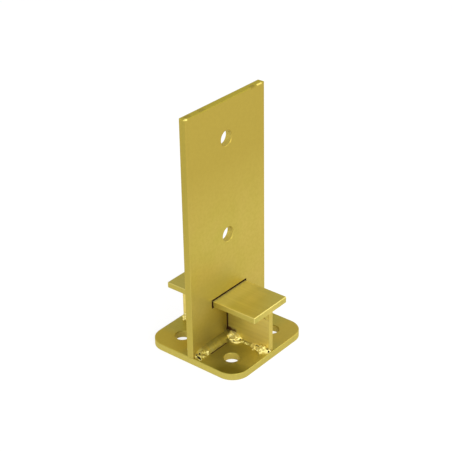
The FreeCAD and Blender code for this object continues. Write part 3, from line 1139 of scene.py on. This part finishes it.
@dataclass
class FootWeld(Weld):
    """Weld at the foot, along the blade and the web, heaped in the corner and at both ends."""

    leg: float = 5.9
    sink: float = 3.0
    rims: int = 10
    rim_start: float = 6.0
    rim_pitch: float = 2.6
    thread_step: float = 0.4
    shake: float = 0.15
    blade_trim: float = 0.0
    web_trim: float = 0.0

    def lay(self) -> None:
        """Lay the puddles from the blade's end to the web's end."""
        self.run("blade", 1.0, 32.0 - self.blade_trim, self.leg, self.sink)
        for index in range(self.rims):
            place = self.rim_start + self.rim_pitch * index
            self.crescent("blade", place, self.leg, self.sink, proud=0.15)
        self.lay_blade_end()
        self.lay_corner()
        self.run("web", 13.0, 22.0, 2.4, 1.0, step=0.6, end_leg=1.8)
        self.run("web", 22.0, 28.5, 1.8, 1.0, step=0.6, end_leg=3.2)
        self.lay_web_end()

    def heap(self, *balls: tuple[float, float, float, float]) -> None:
        """Lay puddles at given places, each shaken a little.

        Args:
            balls: distances from the web, the blade and the floor, and the radius.
        """
        for ball in balls:
            spot = [value + self.dice.uniform(-self.shake, self.shake) for value in ball]
            self.puddles.append(Puddle(*spot))

    def thread(self, radius: float, *spots: Spot, kind: Kind = Kind.METAL) -> None:
        """Lay a smooth thread of metal, or of marks, through given places.

        Args:
            radius: the thread's radius, 0 for marks.
            spots: places from the three faces, in order.
            kind: metal or a kind of mark.
        """
        for here, after in zip(spots, spots[1:]):
            start, end = Vector(here), Vector(after)
            count = max(1, round((end - start).length / self.thread_step))
            for index in range(count):
                self.puddles.append(Puddle(*start.lerp(end, index / count), radius, kind))

    def lay_blade_end(self) -> None:
        """Heap the end of the run along the blade, with its craters."""
        heap = ((36.6, 1.6, 1.6, 2.9), (38.0, 3.4, 0.9, 2.5), (36.0, 4.6, 0.7, 2.2),
                (39.6, 4.6, 0.3, 1.9), (39.4, 1.0, 1.2, 2.3), (35.0, 5.8, 0.2, 1.4),
                (40.4, 5.8, 0.1, 1.1), (34.4, 2.4, 3.2, 1.5), (30.6, 4.8, 2.4, 1.2),
                (32.8, 3.8, 2.6, 1.1))
        self.heap(*((along - self.blade_trim, out, up, radius) for along, out, up, radius in heap))
        if self.blade_trim:
            return
        self.mark(Kind.PIT, (39.6, 1.3, 2.4), (37.4, 2.4, 3.1))
        self.thread(0.0, (39.4, 3.0, 1.4), (40.3, 5.7, 0.7), kind=Kind.PIT)

    def lay_corner(self) -> None:
        """Heap the corner: a high inner puddle with a hollow, and a crescent around its foot."""
        for place, leg in ((2.0, 5.2), (4.0, 5.8), (6.0, 6.0), (8.0, 5.5), (9.5, 4.6)):
            self.drop("web", place, leg, 2.0)
        self.heap((4.2, 7.4, 0.4, 2.3))
        self.thread(1.7, (5.0, 6.8, 0.5), (5.4, 9.6, 0.5), (5.2, 11.0, 0.5), (4.1, 13.3, 0.5),
                    (3.1, 14.3, 0.5), (1.9, 15.1, 0.5), (0.6, 15.5, 0.5))
        self.thread(1.5, (1.2, 4.4, 5.0), (1.8, 7.2, 4.6), (2.3, 10.0, 3.5), (2.3, 11.2, 2.9))
        self.thread(1.4, (5.8, 7.0, 1.8), (5.6, 8.2, 1.9), (5.1, 9.4, 2.0), (4.4, 10.4, 2.1))
        self.heap((1.4, 18.2, 0.4, 1.1))
        self.mark(Kind.DIMPLE, (3.8, 6.4, 3.3), (3.6, 7.6, 3.3))
        self.thread(0.0, (5.6, 9.9, 1.4), (5.3, 11.3, 1.0), (4.0, 12.9, 1.1), (2.6, 13.5, 1.4),
                    (1.4, 13.6, 1.8), (0.5, 13.5, 2.2), kind=Kind.CREASE)

    def lay_web_end(self) -> None:
        """Heap the end of the run along the web, with lumps and craters."""
        heap = ((0.6, 28.5, 0.4, 2.8), (0.8, 31.0, 0.6, 3.2), (1.2, 33.5, 0.8, 3.8),
                (1.6, 36.0, 0.8, 4.1), (1.2, 38.0, 0.6, 3.1), (4.1, 28.6, 0.3, 1.3),
                (2.4, 29.6, 1.6, 1.0), (1.0, 31.0, 3.3, 1.2), (3.9, 32.4, 1.5, 1.6),
                (1.4, 34.0, 3.9, 1.5), (3.6, 35.2, 2.9, 1.8), (5.0, 36.2, 0.9, 1.7),
                (3.2, 38.2, 1.8, 1.7), (1.2, 36.8, 4.0, 1.6))
        self.heap(*((out, along - self.web_trim, up, radius) for out, along, up, radius in heap))
        if not self.web_trim:
            self.heap((0.7, 39.4, 0.9, 2.0), (-1.2, 40.1, 1.0, 1.7))
            self.mark(Kind.PIT, (0.2, 39.3, 2.8), (-1.8, 40.9, 2.1), (0.7, 40.9, 1.0),
                      (0.6, 40.9, 1.6))
            self.thread(0.0, (1.1, 28.5, 3.0), (2.0, 30.9, 3.8), (2.6, 33.0, 4.4), kind=Kind.CREASE)
            self.mark(Kind.DIMPLE, (4.0, 30.6, 1.4), (4.7, 32.4, 2.6))


@dataclass
class SeatWeld(Weld):
    """Weld under the seat, along the root of the web, flush with the web's end."""

    leg: float = 5.0
    sink: float = 3.0
    rims: int = 14
    rim_start: float = 2.0
    rim_pitch: float = 2.8
    setback: float = 0.3

    def room_outline(self) -> list[tuple[float, float]]:
        """Outline the open room as seen from above, up to the web's end.

        Returns:
            Its corners, as distances from the web and from the blade.
        """
        near, far = -self.faces.sink, self.faces.reach
        end = self.faces.tee_end - self.faces.blade - self.setback
        return [(near, near), (far, near), (far, end), (near, end)]

    def lay(self) -> None:
        """Lay a plain run with faint ripples."""
        end = self.faces.tee_end - self.faces.blade
        self.run("web", 1.0, end, self.leg, self.sink)
        for index in range(self.rims):
            place = self.rim_start + self.rim_pitch * index
            self.crescent("web", place, self.leg, self.sink, proud=0.2)


@dataclass
class WeldRuns:
    """All the welds, grown with one node tree and one finish."""

    welds: tuple[Weld, ...] = (
        FootWeld("weld_front_left", Nook.FRONT_LEFT, 11),
        FootWeld("weld_front_right", Nook.FRONT_RIGHT, 23, shake=0.4, blade_trim=2.0, web_trim=4.5),
        FootWeld("weld_rear_left", Nook.REAR_LEFT, 37, shake=0.4, blade_trim=5.0, web_trim=1.0),
        FootWeld("weld_rear_right", Nook.REAR_RIGHT, 41, shake=0.4, blade_trim=3.0, web_trim=3.0),
        SeatWeld("weld_seat_front", Nook.SEAT_FRONT, 53),
        SeatWeld("weld_seat_rear", Nook.SEAT_REAR, 67),
    )

    def build(self) -> None:
        """Grow each weld."""
        tree = BeadTree().build()
        finish = WeldFinish("zinc_on_weld").build()
        for weld in self.welds:
            weld.build(tree, finish)


def main() -> None:
    """Build the view, the studio and the pieces in order."""
    logging.basicConfig(level=logging.INFO)
    bpy.context.scene.view_settings.view_transform = "Standard"
    PhotoView().build()
    Studio().build()
    SteelPieces().build()
    WeldRuns().build()


if __name__ == "__main__":
    main()
